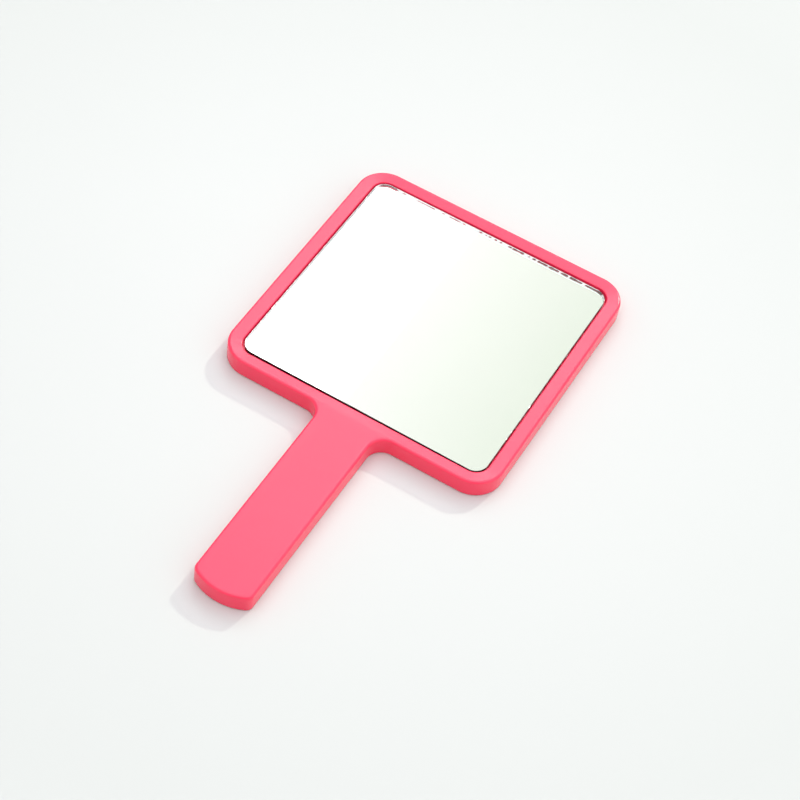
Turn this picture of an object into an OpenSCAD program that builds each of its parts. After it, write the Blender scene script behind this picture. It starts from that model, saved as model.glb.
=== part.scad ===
// Paddle hand mirror for a hair salon: a square head and a flat handle in one moulding,
// with a bonded glass pane in front and a flush cover behind.
// It lies on its back: Z is up, the pane faces up, and the handle points along -Y.

/* [Head] */
// Side of the square head
head_w = 130; // [120:1:150]
// Radius of the head's four corners, seen from the front
corner_r = 13; // [12:0.5:18]
// Width of the rim round the pane
rim_w = 6.4; // [6.2:0.1:8]
// How far the rim's face slopes down towards the pane
rim_drop = 0.6; // [0.3:0.1:0.9]

/* [Handle] */
// Width of the parallel-sided handle
handle_w = 26.5; // [24:0.5:32]
// Length of the handle from the head's edge to its tip
handle_len = 98.5; // [90:0.5:120]
// Radius of the curved tip
tip_r = 24.5; // [22:0.5:30]
// Radius of the two small corners beside the tip
tip_corner_r = 3.25; // [3:0.25:4]
// Radius of the two hollow corners at the neck
neck_r = 7.3; // [6:0.1:10]

/* [Body] */
// Thickness of the whole mirror
thick = 9; // [9:0.1:11]
// Rounding of the edges round the front
front_edge_r = 1.2; // [0.8:0.1:1.4]
// Rounding of the edges round the back
back_edge_r = 0.8; // [0.4:0.1:1]
// Thickness of the shell's side walls
wall_t = 2.6; // [2.4:0.1:2.7]
// Thickness of the floor that the pane is bonded to
tray_t = 1.5; // [1.2:0.1:1.6]
// Thickness of the stiffening ribs
rib_t = 1.2; // [0.8:0.1:1.6]

/* [Pane] */
// Thickness of the glass
glass_t = 2; // [1.8:0.1:2.1]
// Gap between the glass and the rim at its two sides
glass_gap = 0.75; // [0.5:0.05:1.2]
// How much wider the gap is at the near and far ends, where the tray is longer than the glass
end_gap = 0.5; // [0:0.1:0.6]
// How far the glass lies below the rim's inner edge
glass_set = 0.3; // [0.1:0.1:0.4]
// Sharp edge ground off round the front of the glass; the back edge is left as cut
glass_seam = 0.2; // [0.1:0.05:0.4]
// Thickness of the silver and of the paint behind the glass, each
film_t = 0.1; // [0.05:0.05:0.1]
// Thickness of the foam tape that holds the pane
tape_t = 0.5; // [0.4:0.05:0.6]
// Width of a strip of the tape
tape_w = 12; // [8:1:18]

/* [Back cover] */
// Thickness of the cover
cover_t = 1.6; // [1.4:0.1:1.8]
// Gap round the cover
cover_gap = 0.15; // [0.1:0.05:0.2]
// Width of the shell's edge that shows round the cover
cover_inset = 1.8; // [1.5:0.1:1.9]
// Radius of the cover's pins
pin_r = 1.25; // [1:0.05:1.5]
// Radial clearance of a pin in its socket
pin_clear = 0.05; // [0.02:0.01:0.1]

/* [Hidden] */
$fn = 96;

frame_colour = [0.96, 0.25, 0.36];
cut = 0.1;                       // how far a cutter runs past the face that it cuts
overlap = 0.3;                   // how far ribs and sockets run into the walls they grow from
edge_break = 0.4;                // bevel on the rim's inner edge

head_half = head_w / 2;
handle_half = handle_w / 2;
corner_centre = head_half - corner_r;
neck_x = handle_half + neck_r;
neck_y = -head_half - neck_r;
tip_y = -head_half - handle_len;
tip_centre_y = tip_y + tip_r;
tip_corner_x = handle_half - tip_corner_r;
tip_arm = tip_r - tip_corner_r;
tip_drop = round(100 * sqrt(tip_arm * tip_arm - tip_corner_x * tip_corner_x)) / 100;
tip_corner_y = tip_centre_y - tip_drop;
tip_side_x = 2 * tip_corner_x;   // the line where the tip's arc meets a small corner ends here
tip_side_y = tip_centre_y - 2 * tip_drop;
head_shift = handle_len / 2;     // puts the origin under the middle of the whole mirror

rim_inner_z = thick - rim_drop;
glass_top = rim_inner_z - glass_set;
glass_z = glass_top - glass_t;
silver_z = glass_z - film_t;
paint_z = silver_z - film_t;
tape_z = paint_z - tape_t;       // also the level of the tray's floor
tray_half = head_half - rim_w;
tray_r = corner_r - rim_w;
tray_wall_t = 1.6;
glass_half = tray_half - glass_gap;
glass_r = tray_r - glass_gap;

hollow_top = tape_z - tray_t;    // roof of the hollow under the tray
channel_top = rim_inner_z - 1.9; // roof of the hollow in the rim and the handle
rib_gap = 0.2;                   // clearance between the ribs and the cover
rib_z = cover_t + rib_gap;
cover_bevel = 0.25;              // rounding of the cover's outer edge
socket_r = pin_r + 1.5;
socket_top = tape_z - 0.5;
pin_top = socket_top - 0.4;
pin_lead = 0.3;                  // taper on the end of a pin

head_pin_pitch = head_half - 21;
head_pins = [for (x = [-1 : 1], y = [-1 : 1]) [x * head_pin_pitch, y * head_pin_pitch]];
handle_pin_pitch = handle_len / 3;
handle_pins = [for (i = [0 : 2]) [0, -head_half - handle_pin_pitch * (i + 0.5)]];
rib_pitch = handle_len / 6;
tape_len = 2 * glass_half - 2 * tape_w - 12;
tape_offset = glass_half - tape_w / 2 - 3;

// Outlines, seen from the front, with the middle of the head at the origin.
// inset moves the whole outline inwards.

module rounded_square(half, r) {
    for (x = [-1, 1], y = [-1, 1])
        translate([x * (half - r), y * (half - r)]) circle(r);
    square([2 * half, 2 * (half - r)], center = true);
    square([2 * (half - r), 2 * half], center = true);
}

// The wedge between the two lines where the tip's arc meets its small corners
module tip_wedge() {
    polygon([[0, tip_centre_y], [-tip_side_x, tip_side_y], [tip_side_x, tip_side_y]]);
}

module tip_corner_wedge() {
    polygon([[tip_corner_x, tip_corner_y], [tip_side_x, tip_side_y], [tip_side_x, tip_corner_y]]);
}

module tip_outline(inset) {
    for (x = [-1, 1])
        translate([x * tip_corner_x, tip_corner_y]) circle(tip_corner_r - inset);
    intersection() {
        translate([0, tip_centre_y]) circle(tip_r - inset);
        tip_wedge();
    }
}

module neck_outline(inset) {
    difference() {
        translate([handle_half - inset - 1, neck_y]) square([neck_r + inset + 1, neck_r + inset + 1]);
        translate([neck_x, neck_y]) circle(neck_r + inset);
    }
}

module paddle_outline(inset) {
    rounded_square(head_half - inset, corner_r - inset);
    translate([-handle_half + inset, tip_corner_y]) square([handle_w - 2 * inset, -tip_corner_y]);
    tip_outline(inset);
    for (side = [0, 1]) mirror([side, 0]) neck_outline(inset);
}

// Slabs with rounded front and back edges: a plain core inside a band that carries the rounding.
// The band's section is given as children, with its outer side at X = 0 and its back at Y = 0.

function band_width(front_r, back_r) = max(front_r, back_r) + 0.2;

module quarter_circle(r) {
    intersection() {
        circle(r);
        square(r);
    }
}

module edge_section(h, front_r, back_r) {
    w = band_width(front_r, back_r);
    translate([-w, 0]) square([w - back_r, h / 2]);
    translate([-w, h / 2]) square([w - front_r, h / 2]);
    translate([-w, back_r]) square([w, h - front_r - back_r]);
    translate([-front_r, h - front_r]) quarter_circle(front_r);
    translate([-back_r, back_r]) mirror([0, 1]) quarter_circle(back_r);
}

// A straight stretch of band that starts at x, y and runs along angle a, outer side on the right
module straight_edge(x, y, a, length) {
    translate([x, y, 0]) rotate([90, 0, a - 90]) translate([0, 0, -length])
        linear_extrude(height = length) children();
}

// A quarter turn of band round x, y, from angle a
module quarter_edge(x, y, r, a) {
    translate([x, y, 0]) rotate([0, 0, a]) rotate_extrude(angle = 90) translate([r, 0]) children();
}

// The part of a full turn of band that the wedge, the second child, covers
module wedge_edge(x, y, r) {
    intersection() {
        translate([x, y, 0]) rotate_extrude() translate([r, 0]) children(0);
        linear_extrude(height = thick) children(1);
    }
}

module edge_band(inset) {
    for (a = [0 : 90 : 270])
        rotate([0, 0, a]) quarter_edge(corner_centre, corner_centre, corner_r - inset, 0) children();
    for (a = [0, 90, 180])
        rotate([0, 0, a]) straight_edge(head_half - inset, -corner_centre, 90, 2 * corner_centre) children();
    for (side = [0, 1]) mirror([side, 0, 0]) {
        straight_edge(neck_x, -head_half + inset, 0, corner_centre - neck_x) children();
        quarter_edge(neck_x, neck_y, neck_r + inset, 90) mirror([1, 0]) children();
        straight_edge(handle_half - inset, tip_corner_y, 90, neck_y - tip_corner_y) children();
        wedge_edge(tip_corner_x, tip_corner_y, tip_corner_r - inset) {
            children();
            tip_corner_wedge();
        }
    }
    wedge_edge(0, tip_centre_y, tip_r - inset) {
        children();
        tip_wedge();
    }
}

module paddle_slab(inset, h, front_r, back_r) {
    linear_extrude(height = h) paddle_outline(inset + band_width(front_r, back_r));
    edge_band(inset) edge_section(h, front_r, back_r);
}

// A rounded square that widens from half0 at z0 to half1 at z1
module tapered_square(half0, half1, z0, z1) {
    r0 = half0 - corner_centre;
    r1 = half1 - corner_centre;
    for (x = [-1, 1], y = [-1, 1])
        translate([x * corner_centre, y * corner_centre, z0]) cylinder(h = z1 - z0, r1 = r0, r2 = r1);
    for (a = [0, 90])
        rotate([90, 0, a]) linear_extrude(height = 2 * corner_centre, center = true)
            polygon([[-half0, z0], [half0, z0], [half1, z1], [-half1, z1]]);
}

// Pieces

module rim_slope() {
    rise = (rim_w - front_edge_r) / rim_drop;
    tapered_square(tray_half, head_half - front_edge_r + cut * rise, rim_inner_z, thick + cut);
}

// Cut twice, a little apart, which makes it longer than it is wide
module tray() {
    for (end = [-end_gap, end_gap]) translate([0, end, 0]) {
        translate([0, 0, tape_z]) linear_extrude(height = thick) rounded_square(tray_half, tray_r);
        tapered_square(tray_half, tray_half + edge_break + cut, rim_inner_z - edge_break, rim_inner_z + cut);
    }
}

module back_hollows() {
    translate([0, 0, -cut]) linear_extrude(height = cover_t + cut) paddle_outline(cover_inset);
    linear_extrude(height = hollow_top) rounded_square(head_half - wall_t, corner_r - wall_t);
    linear_extrude(height = channel_top) difference() {
        paddle_outline(wall_t);
        rounded_square(tray_half + tray_wall_t, tray_r + tray_wall_t);
    }
}

module ribs() {
    head_rib = 2 * (head_half - wall_t + overlap);
    for (a = [0, 90], i = [-1 : 1])
        rotate([0, 0, a]) translate([-head_rib / 2, i * head_pin_pitch - rib_t / 2, rib_z])
            cube([head_rib, rib_t, hollow_top + overlap - rib_z]);
    handle_rib = handle_w - 2 * wall_t + 2 * overlap;
    for (i = [0 : 5])
        translate([-handle_rib / 2, -head_half - rib_pitch * (i + 0.5) - rib_t / 2, rib_z])
            cube([handle_rib, rib_t, channel_top + overlap - rib_z]);
    spine = handle_len - wall_t + overlap;
    translate([-rib_t / 2, -head_half - spine, rib_z])
        cube([rib_t, spine, channel_top + overlap - rib_z]);
}

module sockets() {
    for (p = head_pins)
        translate([p[0], p[1], rib_z]) cylinder(h = hollow_top + overlap - rib_z, r = socket_r);
    for (p = handle_pins)
        translate([p[0], p[1], rib_z]) cylinder(h = channel_top + overlap - rib_z, r = socket_r);
}

module front_frame() {
    color(frame_colour) translate([0, head_shift, 0]) difference() {
        union() {
            difference() {
                paddle_slab(0, thick, front_edge_r, back_edge_r);
                rim_slope();
                tray();
                back_hollows();
            }
            ribs();
            sockets();
        }
        for (p = concat(head_pins, handle_pins))
            translate([p[0], p[1], 0]) cylinder(h = socket_top, r = pin_r + pin_clear);
    }
}

module pin() {
    translate([0, 0, cover_t - overlap]) cylinder(h = pin_top - pin_lead - cover_t + overlap, r = pin_r);
    translate([0, 0, pin_top - pin_lead]) cylinder(h = pin_lead, r1 = pin_r, r2 = pin_r - pin_lead);
}

module back_cover() {
    color(frame_colour) translate([0, head_shift, 0]) {
        paddle_slab(cover_inset + cover_gap, cover_t, cover_bevel, cover_bevel);
        for (p = concat(head_pins, handle_pins)) translate([p[0], p[1], 0]) pin();
    }
}

module mirror_glass() {
    color([0.88, 0.95, 0.91, 0.35]) translate([0, head_shift, 0]) {
        translate([0, 0, glass_z]) linear_extrude(height = glass_t - glass_seam)
            rounded_square(glass_half, glass_r);
        tapered_square(glass_half, glass_half - glass_seam, glass_top - glass_seam, glass_top);
    }
}

// One coat over the back of the pane, which was cut together with it
module film(z) {
    translate([0, head_shift, z]) linear_extrude(height = film_t) rounded_square(glass_half, glass_r);
}

module silver_layer() {
    color([0.93, 0.95, 0.94]) film(silver_z);
}

module backing_paint() {
    color([0.30, 0.31, 0.33]) film(paint_z);
}

module adhesive_tape() {
    color([0.93, 0.93, 0.90]) translate([0, head_shift, tape_z + tape_t / 2]) {
        for (side = [-1, 1]) {
            translate([side * tape_offset, 0, 0]) cube([tape_w, tape_len, tape_t], center = true);
            translate([0, side * tape_offset, 0]) cube([tape_len, tape_w, tape_t], center = true);
        }
        cube([tape_w, tape_len - 2 * tape_w, tape_t], center = true);
    }
}

front_frame();
back_cover();
mirror_glass();
silver_layer();
backing_paint();
adhesive_tape();
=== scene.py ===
"""The looks of a salon hand mirror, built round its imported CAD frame. Lengths are in metres.

The mirror lies on its back: Z is up, the pane faces up, and the handle points along -Y.
"""

import math

import bmesh
import bpy
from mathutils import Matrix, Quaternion, Vector, noise


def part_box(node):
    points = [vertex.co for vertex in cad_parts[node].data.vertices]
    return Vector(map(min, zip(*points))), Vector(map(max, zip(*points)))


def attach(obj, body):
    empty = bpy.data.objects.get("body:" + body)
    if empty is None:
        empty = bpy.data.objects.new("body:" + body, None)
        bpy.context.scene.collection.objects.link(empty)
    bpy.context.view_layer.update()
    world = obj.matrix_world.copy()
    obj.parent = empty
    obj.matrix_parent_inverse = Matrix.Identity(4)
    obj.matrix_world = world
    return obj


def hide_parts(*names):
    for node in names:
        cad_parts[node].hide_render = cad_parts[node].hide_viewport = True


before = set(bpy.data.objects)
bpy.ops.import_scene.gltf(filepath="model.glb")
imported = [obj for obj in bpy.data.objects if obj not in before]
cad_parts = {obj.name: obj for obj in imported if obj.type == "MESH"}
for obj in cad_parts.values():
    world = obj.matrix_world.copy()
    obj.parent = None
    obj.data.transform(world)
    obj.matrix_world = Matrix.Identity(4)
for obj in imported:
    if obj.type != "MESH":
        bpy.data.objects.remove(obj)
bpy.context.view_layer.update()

MM = 0.001

# Sizes of the moulding, which repeat the design's own

CORNER_R = 13 * MM          # corners of the head
NECK_R = 7.3 * MM           # hollow corners at the neck
HANDLE_HALF = 13.25 * MM    # half of the handle's width
TIP_R = 24.5 * MM           # curved tip
TIP_CORNER_R = 3.25 * MM    # small corners beside the tip
FRONT_EDGE_R = 1.2 * MM     # rounding of the front edges
BACK_EDGE_R = 0.8 * MM      # rounding of the back edges
RIM_DROP = 0.6 * MM         # how far the rim slopes down towards the pane
GLASS_GAP = 0.75 * MM       # gap between the pane and the rim at the two sides
END_GAP = 0.5 * MM          # how much longer the tray is at its near and far ends
COVER_T = 1.6 * MM          # thickness of the back cover
COVER_GAP = 0.15 * MM       # gap round the back cover
WALL_T = 2.6 * MM           # thickness of the side walls
TRAY_T = 1.5 * MM           # thickness of the floor under the pane

# Sizes that the visual model has in place of the design's sharp edges and bevels

RIM_EDGE_R = 0.5 * MM       # rounding of the rim's inner edge
RECESS_BREAK = 0.15 * MM    # bevel round the mouth of the cover's recess
NECK_BLEND = 1.6 * MM       # softness of the crease where the rim's slope meets the handle
NECK_SOFT_SHARE = 0.7       # share of the handle's half width over which that crease is fully soft

# Places read from the frame

frame_lo, frame_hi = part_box("front_frame")
glass_lo, glass_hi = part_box("mirror_glass")
silver_lo, silver_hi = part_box("silver_layer")

HEAD_HALF = frame_hi.x
HEAD_Y = frame_hi.y - HEAD_HALF       # the middle of the head
TOP = frame_hi.z
GLASS_HALF = glass_hi.x
TRAY_HALF = GLASS_HALF + GLASS_GAP
TRAY_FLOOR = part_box("adhesive_tape")[0].z
COVER_INSET = frame_hi.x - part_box("back_cover")[1].x - COVER_GAP

CORNER_MID = HEAD_HALF - CORNER_R
NECK_X = HANDLE_HALF + NECK_R
NECK_Y = -HEAD_HALF - NECK_R
TIP_MID_Y = frame_lo.y - HEAD_Y + TIP_R
TIP_CORNER_X = HANDLE_HALF - TIP_CORNER_R
TIP_DROP = math.sqrt((TIP_R - TIP_CORNER_R) ** 2 - TIP_CORNER_X ** 2)
TIP_CORNER_Y = TIP_MID_Y - TIP_DROP
TIP_ANGLE = 180 + math.degrees(math.atan2(TIP_DROP, TIP_CORNER_X))

# How many steps each stretch of the outline and each rounding is divided into

CORNER_STEPS = 18
NECK_STEPS = 12
TIP_CORNER_STEPS = 8
TIP_STEPS = 24
SIDE_STEPS = 26
SHOULDER_STEPS = 8
HANDLE_STEPS = 22
ROW_STEPS = 14              # across the handle
BACK_EDGE_STEPS = 6
FRONT_EDGE_STEPS = 8
SLOPE_STEPS = 7
RIM_EDGE_STEPS = 5


# Mesh helpers

def mix(a, b, t):
    """The value a share t of the way from a to b."""
    return a + (b - a) * t


def smooth_step(t):
    """0 below 0, 1 above 1, and a smooth rise between."""
    t = min(1.0, max(0.0, t))
    return t * t * (3 - 2 * t)


def arc(x, y, r, start, end, steps):
    """Points of an arc in degrees, without its first."""
    angles = [math.radians(mix(start, end, i / steps)) for i in range(1, steps + 1)]
    return [(x + r * math.cos(a), y + r * math.sin(a)) for a in angles]


def line(start, end, steps):
    """Points of a straight stretch, without its first."""
    return [(mix(start[0], end[0], i / steps), mix(start[1], end[1], i / steps)) for i in range(1, steps + 1)]


def head_outline(half, gap_steps=ROW_STEPS):
    """Rounded square round the middle of the head, from the right of the neck to its left.

    gap_steps divides the stretch across the neck, which is left open where it is 0.
    """
    r = half - CORNER_MID
    mid = CORNER_MID
    points = line((NECK_X, -half), (mid, -half), SHOULDER_STEPS)
    points += arc(mid, -mid, r, -90, 0, CORNER_STEPS) + line((half, -mid), (half, mid), SIDE_STEPS)
    points += arc(mid, mid, r, 0, 90, CORNER_STEPS) + line((mid, half), (-mid, half), SIDE_STEPS)
    points += arc(-mid, mid, r, 90, 180, CORNER_STEPS) + line((-half, mid), (-half, -mid), SIDE_STEPS)
    points += arc(-mid, -mid, r, 180, 270, CORNER_STEPS)
    points += line((-mid, -half), (-NECK_X, -half), SHOULDER_STEPS)
    if gap_steps:
        points += line((-NECK_X, -half), (NECK_X, -half), gap_steps)
    return points


def handle_outline(inset):
    """Down the left of the handle, round its tip and up the right, from neck to neck."""
    half = HANDLE_HALF - inset
    tip_end = 540 - TIP_ANGLE
    points = arc(-NECK_X, NECK_Y, NECK_R + inset, 90, 0, NECK_STEPS)
    points += line((-half, NECK_Y), (-half, TIP_CORNER_Y), HANDLE_STEPS)
    points += arc(-TIP_CORNER_X, TIP_CORNER_Y, TIP_CORNER_R - inset, 180, TIP_ANGLE, TIP_CORNER_STEPS)
    points += arc(0, TIP_MID_Y, TIP_R - inset, TIP_ANGLE, tip_end, TIP_STEPS)
    points += arc(TIP_CORNER_X, TIP_CORNER_Y, TIP_CORNER_R - inset, tip_end, 360, TIP_CORNER_STEPS)
    points += line((half, TIP_CORNER_Y), (half, NECK_Y), HANDLE_STEPS)
    points += arc(NECK_X, NECK_Y, NECK_R + inset, 180, 90, NECK_STEPS)
    return points


def paddle_outline(inset):
    """The whole outline, moved inwards by inset."""
    return head_outline(HEAD_HALF - inset, 0) + handle_outline(inset)


def lengthened(points, extra):
    """An outline round the middle of the head, stretched towards its near and far ends by extra at each."""
    half = max(y for x, y in points)
    return [(x, y * (1 + extra / half)) for x, y in points]


def add_ring(bm, points, height):
    """A ring of vertices round the middle of the head. height is one level, or a function of the point."""
    level = height if callable(height) else lambda x, y: height
    return [bm.verts.new((x, y + HEAD_Y, level(x, y))) for x, y in points]


def bridge(bm, lower, upper, material=0):
    """Faces between two rings of the same length, facing out where upper lies above lower."""
    count = len(lower)
    for i in range(count):
        j = (i + 1) % count
        face = bm.faces.new((lower[i], lower[j], upper[j], upper[i]))
        face.material_index = material


def finish_piece(name, bm, node, materials, smooth_angle=35):
    """Turns a mesh into a piece that stands for a CAD node and rides on the body.

    Faces that meet at more than smooth_angle degrees have a sharp edge between them.
    """
    bmesh.ops.recalc_face_normals(bm, faces=bm.faces)
    mesh = bpy.data.meshes.new(name)
    bm.to_mesh(mesh)
    bm.free()
    piece = bpy.data.objects.new(name, mesh)
    bpy.context.scene.collection.objects.link(piece)
    for material in materials:
        mesh.materials.append(material)
    mesh.shade_smooth()
    mesh.set_sharp_from_angle(angle=math.radians(smooth_angle))
    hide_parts(node)
    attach(piece, "root")


# Node helpers

def new_material(name):
    """A node material, and the helper that adds nodes to it."""
    material = bpy.data.materials.new(name)
    material.use_nodes = True
    return material, Nodes(material.node_tree)


class Nodes:
    """Adds nodes to a tree, with their inputs given by name or number."""

    def __init__(self, tree):
        self.tree = tree

    def get(self, name):
        """A node that the tree already has."""
        return self.tree.nodes[name]

    def add(self, kind, inputs=None, **settings):
        """A new node. settings are its own properties, such as operation."""
        node = self.tree.nodes.new("ShaderNode" + kind)
        for key, value in settings.items():
            setattr(node, key, value)
        for key, value in (inputs or {}).items():
            self.set(node.inputs[key], value)
        return node

    def set(self, socket, value):
        """Links a socket to another, or gives it a constant."""
        if isinstance(value, bpy.types.NodeSocket):
            self.tree.links.new(value, socket)
        else:
            socket.default_value = value

    def noise(self, place, scale, detail, roughness=0.5):
        """A noise of 0 to 1, mostly between 0.3 and 0.7. scale is the number of features in a metre."""
        return self.add("TexNoise", {"Vector": place, "Scale": scale, "Detail": detail,
                                     "Roughness": roughness}).outputs["Fac"]

    def range(self, value, low, high, to_low, to_high):
        """Takes low..high to to_low..to_high, held at both ends."""
        return self.add("MapRange", {"Value": value, "From Min": low, "From Max": high,
                                     "To Min": to_low, "To Max": to_high}).outputs["Result"]

    def blend(self, fac, a, b):
        """A colour between a and b. A Mix node's sockets share names, so its colour ones go by number."""
        node = self.add("Mix", data_type="RGBA")
        for key, value in ((0, fac), (6, a), (7, b)):
            self.set(node.inputs[key], value)
        return node.outputs[2]

    def math(self, operation, a, b):
        """The result of one operation on two values."""
        return self.add("Math", {0: a, 1: b}, operation=operation).outputs[0]

    def bump(self, height, distance, normal=None):
        """Raises the surface by up to distance metres, on top of an earlier bump where normal is given."""
        inputs = {"Height": height, "Distance": distance}
        if normal is not None:
            inputs["Normal"] = normal
        return self.add("Bump", inputs).outputs["Normal"]

    def place(self):
        """Object coordinates, which are the frame's own."""
        return self.add("TexCoord").outputs["Object"]


# Materials

CORAL = (0.97, 0.023, 0.087)
GLASS_IOR = 1.52


def moulded_plastic(name, grain, grain_depth, rough_low, rough_high):
    """Coral-pink moulded plastic. grain is the number of grains in a metre."""
    material, nodes = new_material(name)
    place = nodes.place()
    flow = nodes.noise(place, scale=28, detail=3)
    speck = nodes.noise(place, scale=1400, detail=2)
    flow_share = 0.85
    tone = nodes.math("ADD", nodes.math("MULTIPLY", flow, flow_share),
                      nodes.math("MULTIPLY", speck, 1 - flow_share))
    deep = tuple(c * 0.965 for c in CORAL) + (1,)
    pale = tuple(c * 1.02 + 0.002 for c in CORAL) + (1,)
    shader = nodes.get("Principled BSDF")
    nodes.set(shader.inputs["Base Color"], nodes.blend(nodes.range(tone, 0.3, 0.7, 0, 1), deep, pale))
    handled = nodes.noise(place, scale=60, detail=4, roughness=0.6)
    nodes.set(shader.inputs["Roughness"], nodes.range(handled, 0.3, 0.7, rough_low, rough_high))
    shader.inputs["IOR"].default_value = 1.6
    fine_bump = nodes.bump(nodes.noise(place, grain, detail=2, roughness=0.6), grain_depth)
    wave_depth = 0.02 * MM
    wave = nodes.noise(place, scale=45, detail=1)
    nodes.set(shader.inputs["Normal"], nodes.bump(wave, wave_depth, fine_bump))
    return material


def pane_glass():
    """Clear float glass with a faint green body and traces of wiping."""
    material, nodes = new_material("clear_float_glass")
    drawn_out = (14, 90, 14)      # makes the noise's cells long across the pane, as strokes of a cloth
    turn = (0, 0, 0.6)            # keeps the noise's grid from lining up with the pane
    strokes = nodes.add("Mapping", {"Vector": nodes.place(), "Rotation": turn, "Scale": drawn_out})
    wipes = nodes.noise(strokes.outputs["Vector"], scale=5, detail=3)
    shader = nodes.get("Principled BSDF")
    tint = nodes.blend(wipes, (0.985, 1.0, 0.99, 1), (0.975, 0.995, 0.982, 1))
    nodes.set(shader.inputs["Base Color"], tint)
    nodes.set(shader.inputs["Roughness"], nodes.range(wipes, 0.6, 0.8, 0.0, 0.004))
    shader.inputs["Transmission Weight"].default_value = 1.0
    shader.inputs["IOR"].default_value = GLASS_IOR
    return material


def ground_edge():
    """The cut edge of the pane: clear green glass, rippled and a little frosted by the grinding wheel."""
    material, nodes = new_material("ground_glass_edge")
    place = nodes.place()
    ripple = nodes.noise(place, scale=900, detail=4, roughness=0.7)
    shader = nodes.get("Principled BSDF")
    colour = nodes.blend(nodes.range(ripple, 0.35, 0.65, 0, 1), (0.80, 0.93, 0.86, 1), (0.95, 0.99, 0.96, 1))
    nodes.set(shader.inputs["Base Color"], colour)
    nodes.set(shader.inputs["Roughness"], nodes.range(ripple, 0.45, 0.75, 0.02, 0.2))
    nodes.set(shader.inputs["Normal"], nodes.bump(ripple, 0.01 * MM))
    shader.inputs["Transmission Weight"].default_value = 1.0
    shader.inputs["IOR"].default_value = GLASS_IOR
    return material


def silvering():
    """The silver behind the pane."""
    material, nodes = new_material("silver_mirror")
    place = nodes.place()
    cloud = nodes.noise(place, scale=20, detail=3)
    shader = nodes.get("Principled BSDF")
    tone = nodes.blend(nodes.range(cloud, 0.3, 0.7, 0, 1), (0.945, 0.955, 0.945, 1), (0.955, 0.963, 0.955, 1))
    nodes.set(shader.inputs["Base Color"], tone)
    nodes.set(shader.inputs["Roughness"], nodes.range(cloud, 0.7, 0.9, 0.0, 0.01))
    shader.inputs["Metallic"].default_value = 1.0
    return material


def backing_paint():
    """Dark protective paint with a sprayed texture."""
    material, nodes = new_material("sprayed_backing_paint")
    place = nodes.place()
    spray = nodes.noise(place, scale=1100, detail=3, roughness=0.65)
    shader = nodes.get("Principled BSDF")
    tone = nodes.blend(nodes.range(spray, 0.35, 0.65, 0, 1), (0.022, 0.028, 0.024, 1), (0.05, 0.058, 0.05, 1))
    nodes.set(shader.inputs["Base Color"], tone)
    nodes.set(shader.inputs["Roughness"], nodes.range(spray, 0.3, 0.7, 0.45, 0.65))
    nodes.set(shader.inputs["Normal"], nodes.bump(spray, 0.03 * MM))
    return material


def foam_tape():
    """White closed-cell foam, with a pit for each cell and painted shade in each pit."""
    material, nodes = new_material("white_foam")
    place = nodes.place()
    cells = nodes.add("TexVoronoi", {"Vector": place, "Scale": 3500.0}).outputs["Distance"]
    shader = nodes.get("Principled BSDF")
    # Painted shade: the colour is darker towards each pit's middle, where the bump sinks
    tone = nodes.blend(nodes.range(cells, 0.0, 0.8, 0, 1), (0.80, 0.80, 0.76, 1), (0.9, 0.9, 0.87, 1))
    nodes.set(shader.inputs["Base Color"], tone)
    nodes.set(shader.inputs["Roughness"], nodes.range(cells, 0, 1, 0.75, 0.9))
    nodes.set(shader.inputs["Normal"], nodes.bump(cells, 0.05 * MM))
    return material


def floor_paint():
    """A pale matt table top, with painted shade: its colour darkens a little away from the mirror, where the
    light falls off.
    """
    material, nodes = new_material("pale_table")
    place = nodes.place()
    mottle = nodes.noise(place, scale=6, detail=4)
    middle = (-0.02, 0.05, 0)
    fade_start = 0.08
    fade_end = 0.25
    away = nodes.add("VectorMath", {0: place, 1: middle}, operation="DISTANCE").outputs["Value"]
    shader = nodes.get("Principled BSDF")
    near = nodes.blend(nodes.range(mottle, 0.3, 0.7, 0, 1), (0.62, 0.63, 0.622, 1), (0.634, 0.644, 0.636, 1))
    # Painted shade: the table's colour darkens between fade_start and fade_end from the middle, for the light
    # falling off away from the mirror
    far_painted_shade = (0.58, 0.594, 0.581, 1)
    share = nodes.range(away, fade_start, fade_end, 0, 1)
    nodes.set(shader.inputs["Base Color"], nodes.blend(share, near, far_painted_shade))
    nodes.set(shader.inputs["Roughness"], nodes.range(mottle, 0.3, 0.7, 0.6, 0.7))
    shader.inputs["Specular IOR Level"].default_value = 0.25
    return material


# The moulded shell

RIM_START = FRONT_EDGE_R    # the rim's slope starts where the edge rounding ends
RIM_SLOPE = RIM_DROP / (HEAD_HALF - TRAY_HALF - RIM_START)
RIM_CROWDING = 1.4          # above 1, the rings of the slope lie closer together at its outer end
WALL_SHARES = (0.35, 0.7)   # places of the wall's two middle rings between its foot and its top
TOUCH = 1e-7                # how far off a line a point on it may be through rounding


def rim_level(inset):
    """Height of the sloping rim, by distance from the head's edge."""
    return TOP - max(0.0, inset - RIM_START) * RIM_SLOPE


def soft_rim_level(inset):
    """The same with a soft crease, for the neck, where the rim runs into the handle."""
    ramp = NECK_BLEND * math.log1p(math.exp((inset - RIM_START) / NECK_BLEND))
    return TOP - ramp * RIM_SLOPE


def face_level(x, y, inset=None):
    """Height of the front face at a point of the neck or the handle, or of the rim where inset is given."""
    depth = y + HEAD_HALF if inset is None else inset
    at_neck = y < -TRAY_HALF / 2 and abs(x) < NECK_X
    fade = NECK_X - HANDLE_HALF * NECK_SOFT_SHARE
    softness = smooth_step((NECK_X - abs(x)) / fade) if at_neck else 0.0
    return mix(rim_level(depth), soft_rim_level(depth), softness)


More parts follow.
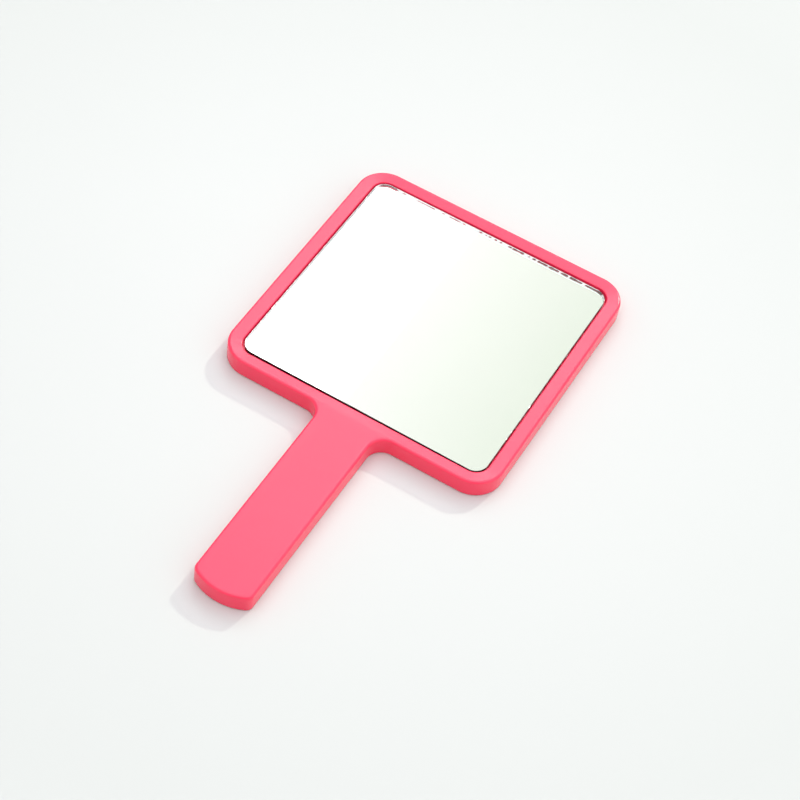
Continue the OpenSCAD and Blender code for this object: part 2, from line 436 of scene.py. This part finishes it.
def edge_levels(bm):
    """The rings from the cover's recess, round the back edge, up the wall and round the front edge."""
    hollow_top = TRAY_FLOOR - TRAY_T
    sections = [(WALL_T, hollow_top), (WALL_T, COVER_T), (COVER_INSET, COVER_T),
                (COVER_INSET, RECESS_BREAK), (COVER_INSET - RECESS_BREAK, 0)]
    for i in range(BACK_EDGE_STEPS + 1):
        a = math.radians(90 * i / BACK_EDGE_STEPS)
        sections.append((BACK_EDGE_R * (1 - math.sin(a)), BACK_EDGE_R * (1 - math.cos(a))))
    for share in WALL_SHARES:
        sections.append((0, mix(BACK_EDGE_R, TOP - FRONT_EDGE_R, share)))
    rings = [add_ring(bm, paddle_outline(inset), height) for inset, height in sections]

    neck_line = -HEAD_HALF + FRONT_EDGE_R + TOUCH
    crest_levels = []
    for x, y in paddle_outline(FRONT_EDGE_R):
        on_handle = y < neck_line and abs(x) < NECK_X
        crest_levels.append(face_level(x, y) if on_handle else TOP)
    for i in range(FRONT_EDGE_STEPS + 1):
        a = math.radians(90 * i / FRONT_EDGE_STEPS)
        points = paddle_outline(FRONT_EDGE_R * (1 - math.cos(a)))
        fall = FRONT_EDGE_R * (1 - math.sin(a))
        rings.append([bm.verts.new((x, y + HEAD_Y, z - fall)) for (x, y), z in zip(points, crest_levels)])
    return rings


def neck_rows(bm, side, crest_row):
    """Fills the front face of the neck and handle between the two sides of the crest ring."""
    count = len(side)
    upper = crest_row
    for k in range(count // 2):
        left, right = side[k], side[count - 1 - k]
        a, b = left.co, right.co
        lower = [left]
        for i in range(1, ROW_STEPS):
            x = mix(a.x, b.x, i / ROW_STEPS)
            y = mix(a.y, b.y, i / ROW_STEPS)
            lower.append(bm.verts.new((x, y, face_level(x, y - HEAD_Y))))
        lower.append(right)
        for i in range(ROW_STEPS):
            bm.faces.new((upper[i], lower[i], lower[i + 1], upper[i + 1]))
        upper = lower
    tip = side[count // 2]
    for i in range(ROW_STEPS):
        bm.faces.new((upper[i], tip, upper[i + 1]))


def rim_and_tray(bm, head_ring):
    """The sloping rim, its rounded inner edge, and the tray, from the ring at the rim's outer end inwards."""
    slope_end = HEAD_HALF - TRAY_HALF - RIM_EDGE_R
    outer = head_ring
    for i in range(1, SLOPE_STEPS + 1):
        share = (i / SLOPE_STEPS) ** RIM_CROWDING
        inset = mix(FRONT_EDGE_R, slope_end, share)
        points = lengthened(head_outline(HEAD_HALF - inset), END_GAP * share)
        ring = add_ring(bm, points, lambda x, y: face_level(x, y, inset))
        bridge(bm, outer, ring)
        outer = ring
    inner_top = rim_level(slope_end)
    for i in range(1, RIM_EDGE_STEPS + 1):
        a = math.radians(90 * i / RIM_EDGE_STEPS)
        half = TRAY_HALF + RIM_EDGE_R * (1 - math.sin(a))
        level = inner_top - RIM_EDGE_R * (1 - math.cos(a))
        ring = add_ring(bm, lengthened(head_outline(half), END_GAP), level)
        bridge(bm, outer, ring)
        outer = ring
    floor_ring = add_ring(bm, lengthened(head_outline(TRAY_HALF), END_GAP), TRAY_FLOOR)
    bridge(bm, outer, floor_ring)
    bm.faces.new(floor_ring)


def front_shell(plastic):
    """The moulding: rim, tray, face of the handle, walls and the recess for the cover."""
    bm = bmesh.new()
    rings = edge_levels(bm)
    for lower, upper in zip(rings, rings[1:]):
        bridge(bm, lower, upper)
    bm.faces.new(rings[0])
    # The row of points across the neck closes the head's part of the crest into a ring of its own
    crest = rings[-1]
    head_count = len(head_outline(HEAD_HALF, 0))
    half = HEAD_HALF - FRONT_EDGE_R
    inner = line((-NECK_X, -half), (NECK_X, -half), ROW_STEPS)[:-1]
    across = [bm.verts.new((x, y + HEAD_Y, face_level(x, y, FRONT_EDGE_R))) for x, y in inner]
    neck_rows(bm, crest[head_count:-1], [crest[head_count - 1]] + across + [crest[-1]])
    rim_and_tray(bm, crest[:head_count] + across + [crest[-1]])
    finish_piece("front_shell", bm, "front_frame", [plastic])


# The pane

EDGE_PITCH = 0.5 * MM       # spacing of the points round the pane, fine enough for its chips
PANE_CORNER_STEPS = 14
PANE_LONG = 0.3 * MM        # how much longer the pane is at its near and far ends
PANE_SKEW = 0.0045          # how far out of square the pane was cut, as a slope of those two ends
PANE_SMOOTH_ANGLE = 20      # in degrees, and small enough to keep the seam crisp
SEAM = 0.08 * MM            # width of the seam round the pane's face
EDGE_MATERIAL = 1           # place of the cut edge's material in the pane's list
CHIP_SEED = Vector((3.1, 7.7, 1.9))
LAYER_GAP = 5.3             # between two layers of the chips' noise, far enough that they don't look alike
NOISE_GAIN = 1.6            # takes the noise to about -1 to 1

# Chips of the pane's edges: features in a metre, the level above which the noise bites, and its gain
FINE_CHIPS = (900, 0.15, 0.9)
BROAD_CHIPS = (260, 0.35, 1.3)


def pane_outline(half, chip):
    """The pane's outline with small chips. chip is a function of the point that gives their depth."""
    mid = CORNER_MID
    near_side = line((-mid, -half), (mid, -half), int(2 * mid / EDGE_PITCH))
    near_side += arc(mid, -mid, half - mid, -90, 0, PANE_CORNER_STEPS)
    points = []
    for quarter in range(4):
        spin = math.radians(90 * quarter)
        for x, y in near_side:
            points.append((x * math.cos(spin) - y * math.sin(spin), x * math.sin(spin) + y * math.cos(spin)))
    chipped = []
    for x, y in points:
        depth = chip(x, y)
        out = Vector((x - min(mid, max(-mid, x)), y - min(mid, max(-mid, y)))).normalized()
        chipped.append((x - out.x * depth, y - out.y * depth))
    return chipped


def rough(x, y, scale, layer):
    """A signed noise of about -1 to 1 along the pane's edge. scale is features in a metre."""
    return noise.noise(Vector((x * scale, y * scale, layer * LAYER_GAP)) + CHIP_SEED) * NOISE_GAIN


def right_share(x):
    """0 at the left end of the pane's far edge, and 1 at its right end."""
    reach = GLASS_HALF * 0.75
    return smooth_step((x + reach) / (2 * reach))


def at_far_edge(y):
    """0 on most of the pane, and 1 at its far edge."""
    start = GLASS_HALF * 0.93
    fade = GLASS_HALF * 0.05
    return smooth_step((y - start) / fade)


def bite(x, y, layer, chips):
    """How deep one layer of chips bites, as a share of its edge's own depth. Only the noise's peaks do."""
    scale, level, gain = chips
    return max(0.0, rough(x, y, scale, layer) - level) * gain


def arris_chip(layer, depth):
    """Small chips along one edge of the pane, at most depth deep."""
    def chip(x, y):
        return depth * min(1.0, bite(x, y, layer, FINE_CHIPS) + bite(x, y, layer + 1, BROAD_CHIPS))
    return chip


def pane_ring(bm, half, chip, height):
    """A ring of vertices round the pane, which was cut a little long and out of square."""
    points = lengthened(pane_outline(half, chip), PANE_LONG)
    return add_ring(bm, [(x, y - x * PANE_SKEW) for x, y in points], height)


def mirror_pane(glass, edge):
    """The glass, with a seam round its face and chips along its edges."""
    bm = bmesh.new()
    half_way = mix(glass_lo.z, glass_hi.z, 0.5)
    bottom = pane_ring(bm, GLASS_HALF, arris_chip(layer=2, depth=0.05 * MM), glass_lo.z)
    middle = pane_ring(bm, GLASS_HALF, arris_chip(layer=4, depth=0.03 * MM), half_way)
    high = pane_ring(bm, GLASS_HALF, arris_chip(layer=6, depth=0.04 * MM), glass_hi.z - SEAM)
    top = pane_ring(bm, GLASS_HALF - SEAM, arris_chip(layer=8, depth=0.08 * MM), glass_hi.z)
    for lower, upper in ((bottom, middle), (middle, high), (high, top)):
        bridge(bm, lower, upper, EDGE_MATERIAL)
    bm.faces.new(top)
    bm.faces.new(bottom)
    finish_piece("mirror_pane", bm, "mirror_glass", [glass, edge], PANE_SMOOTH_ANGLE)


SILVER_MARGIN = 0.02 * MM   # how far the silver stays back from the cut where it is whole
FLAKE_LEFT = 0.25 * MM      # depth of the flakes at the left end of the far edge
FLAKE_RIGHT = 0.62 * MM     # and at its right end
FLAKE_CORNER = 0.7 * MM     # depth of the loss in the far left corner
FLAKE_REACH = 4 * MM        # how far the flaking runs on past the place where a corner starts
FLAKE_FADE = 2 * MM         # length over which it dies out


def silver_edge(x, y):
    """How far the silver has flaked back from the cut.

    It has flaked along the far edge, more often and deeper towards the right, and in the far left corner.
    """
    share = right_share(x)
    crowding = mix(300, 560, share)         # features in a metre
    threshold = mix(0.38, -0.6, share)      # noise above it is a flake, so flakes are wider at the right
    softness = 0.14
    flakes = smooth_step((rough(x, y, crowding, layer=11) - threshold) / softness)
    unevenness = 0.9 + 0.35 * rough(x, y, scale=450, layer=13)
    flakes *= smooth_step((CORNER_MID + FLAKE_REACH - x) / FLAKE_FADE) * unevenness
    corner = smooth_step((x + GLASS_HALF) / FLAKE_FADE)
    corner *= smooth_step((-CORNER_MID + FLAKE_REACH - x) / FLAKE_FADE)
    flaked = max(flakes * mix(FLAKE_LEFT, FLAKE_RIGHT, share), corner * FLAKE_CORNER)
    return SILVER_MARGIN + flaked * at_far_edge(y)


def silver_coat(silver):
    """The silver behind the pane, with its flaked edge."""
    bm = bmesh.new()
    stand_off = 0.02 * MM       # keeps the silver's face and the glass's own face apart
    low = pane_ring(bm, GLASS_HALF, silver_edge, silver_lo.z)
    high = pane_ring(bm, GLASS_HALF, silver_edge, silver_hi.z - stand_off)
    bridge(bm, low, high)
    bm.faces.new(high)
    bm.faces.new(low)
    finish_piece("silver_coat", bm, "silver_layer", [silver], PANE_SMOOTH_ANGLE)


# Stage, light and camera

FLOOR_HALF = 6.0            # half of the floor's width
FLOOR_CELLS = 24


def table_top(paint):
    """A large plain floor."""
    bm = bmesh.new()
    bmesh.ops.create_grid(bm, x_segments=FLOOR_CELLS, y_segments=FLOOR_CELLS, size=FLOOR_HALF)
    mesh = bpy.data.meshes.new("floor")
    bm.to_mesh(mesh)
    bm.free()
    floor = bpy.data.objects.new("floor", mesh)
    mesh.materials.append(paint)
    bpy.context.scene.collection.objects.link(floor)


# Soft boxes of the studio, by azimuth from +Y towards -X, elevation, angles from the middle at which
# the light is full and at which it has faded out, and strength. Angles are in degrees.
SOFT_BOXES = (
    (0, 85, 18, 41, 1.45),       # overhead
    (180, 66, 12, 38, 0.35),     # overhead on the side of the camera
    (-82, 15, 26, 60, 0.66),     # fill from the right
    (130, 28, 26, 60, 0.34),     # fill from the left and the side of the camera
)
ROOM_LIGHT = 0.51
LIGHT_TINT = (1.0, 0.995, 1.02)    # a trace of blue

# The window and the board stand behind the mirror, the board in front of a part of the window. Both are
# placed by lean, which is distance for each unit of height above the mirror: "along" counts it towards +Y
# and "across" towards +X. A fade is the lean over which an edge dims.

# Panels of the window, from top to bottom: where each starts and ends along, and its strength
WINDOW_PANELS = (
    (0.62, 0.69, 4.0),
    (0.70, 0.90, 1.95),
    (0.90, 1.25, 4.1),
)
PANEL_FADE = 0.04
WINDOW_ACROSS = (-0.75, 0.15)
WINDOW_FADE = 0.2
BOARD_ACROSS = (-0.325, -0.228)
BOARD_ACROSS_FADES = (0.025, 0.013)
BOARD_ALONG = (0.70, 0.875)
BOARD_ALONG_FADES = (0.01, 0.015)
BOARD_SHADE = (-0.33, -0.235)               # its light goes from left to right over this stretch across
BOARD_LEFT = (1.13, 1.11, 1.08, 1)
BOARD_RIGHT = (0.94, 0.975, 0.885, 1)


def between(nodes, value, ends, fades, inside):
    """inside where value lies between the two ends, fading to nothing over the two fades outside them."""
    low, high = ends
    rise = nodes.range(value, low - fades[0], low, 0, 1)
    fall = nodes.range(value, high, high + fades[1], 1, 0)
    return nodes.math("MULTIPLY", inside, nodes.math("MULTIPLY", rise, fall))


def soft_box(nodes, direction, azimuth, elevation, inner, outer, power):
    """The light of one soft box, which is full within inner degrees of its middle and ends at outer."""
    a = math.radians(azimuth)
    e = math.radians(elevation)
    aim = (-math.sin(a) * math.cos(e), math.cos(a) * math.cos(e), math.sin(e))
    nearness = nodes.add("VectorMath", {0: direction, 1: aim}, operation="DOT_PRODUCT").outputs["Value"]
    glow = nodes.add("MapRange", {"Value": nearness, "From Min": math.cos(math.radians(outer)),
                                  "From Max": math.cos(math.radians(inner)), "To Max": power},
                     interpolation_type="SMOOTHSTEP")
    return glow.outputs["Result"]


def studio_sky():
    """A white room with soft boxes, a window, and a board that the right-hand side of the pane reflects."""
    world = bpy.data.worlds.new("studio")
    bpy.context.scene.world = world
    world.use_nodes = True
    nodes = Nodes(world.node_tree)
    direction = nodes.add("TexCoord").outputs["Generated"]
    axes = nodes.add("SeparateXYZ", {0: direction}).outputs
    across = nodes.math("DIVIDE", axes[0], axes[2])
    along = nodes.math("DIVIDE", axes[1], axes[2])
    above = nodes.range(axes[2], 0, 0.001, 0, 1)

    strength = ROOM_LIGHT
    for box in SOFT_BOXES:
        strength = nodes.math("ADD", soft_box(nodes, direction, *box), strength)
    for top, foot, power in WINDOW_PANELS:
        ends = (top + PANEL_FADE / 2, foot - PANEL_FADE / 2)
        lit = nodes.math("MULTIPLY", above, power)
        panel = between(nodes, along, ends, (PANEL_FADE, PANEL_FADE), lit)
        panel = between(nodes, across, WINDOW_ACROSS, (WINDOW_FADE, WINDOW_FADE), panel)
        strength = nodes.math("ADD", strength, panel)
    white = nodes.add("VectorMath", {0: strength, 1: LIGHT_TINT}, operation="MULTIPLY").outputs["Vector"]
    shade = nodes.range(across, BOARD_SHADE[0], BOARD_SHADE[1], 0, 1)
    paint = nodes.blend(shade, BOARD_LEFT, BOARD_RIGHT)
    board = between(nodes, across, BOARD_ACROSS, BOARD_ACROSS_FADES, above)
    board = between(nodes, along, BOARD_ALONG, BOARD_ALONG_FADES, board)
    nodes.set(nodes.get("Background").inputs["Color"], nodes.blend(board, white, paint))


def key_light():
    """The lamp that throws the shadow, behind the mirror and a little to its right."""
    elevation = math.radians(33.6)
    azimuth = math.radians(12)
    distance = 5.0
    flat = math.cos(elevation)
    direction = Vector((flat * math.sin(azimuth), flat * math.cos(azimuth), math.sin(elevation)))
    lamp = bpy.data.lights.new("key", "AREA")
    lamp.shape = "DISK"
    lamp.size = 0.26
    lamp.energy = 83
    lamp.color = (0.95, 1.04, 0.88)
    light = bpy.data.objects.new("key", lamp)
    bpy.context.scene.collection.objects.link(light)
    light.location = Vector((0, HEAD_Y, 0)) + direction * distance
    light.rotation_mode = "QUATERNION"
    light.rotation_quaternion = (-direction).to_track_quat("-Z", "Y")


def photo_camera():
    """Looks down at the mirror from its right, past the handle, and rolled a little."""
    azimuth = math.radians(22.43)
    elevation = math.radians(51.86)
    roll = math.radians(9.82)
    aim = Vector((9.19 * MM, 11.22 * MM, 0))
    distance = 0.8866
    data = bpy.data.cameras.new("camera")
    data.sensor_width = 36
    data.lens = 95.86
    camera = bpy.data.objects.new("camera", data)
    bpy.context.scene.collection.objects.link(camera)
    flat = math.cos(elevation)
    back = Vector((flat * math.sin(azimuth), -flat * math.cos(azimuth), math.sin(elevation)))
    camera.location = aim + back * distance
    camera.rotation_mode = "QUATERNION"
    camera.rotation_quaternion = (-back).to_track_quat("-Z", "Y") @ Quaternion((0, 0, 1), roll)
    bpy.context.scene.camera = camera


def dress_node(name, material):
    """Gives its material to a CAD node that stays."""
    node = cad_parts[name]
    node.data.materials.clear()
    node.data.materials.append(material)


photo_camera()
studio_sky()
key_light()
table_top(floor_paint())
bpy.context.scene.view_settings.view_transform = "Standard"

satin = moulded_plastic("satin_coral_plastic", grain=3400, grain_depth=0.004 * MM,
                        rough_low=0.21, rough_high=0.26)
textured = moulded_plastic("textured_coral_plastic", grain=1500, grain_depth=0.05 * MM,
                           rough_low=0.5, rough_high=0.6)
front_shell(satin)
mirror_pane(pane_glass(), ground_edge())
silver_coat(silvering())
dress_node("back_cover", textured)
dress_node("backing_paint", backing_paint())
dress_node("adhesive_tape", foam_tape())
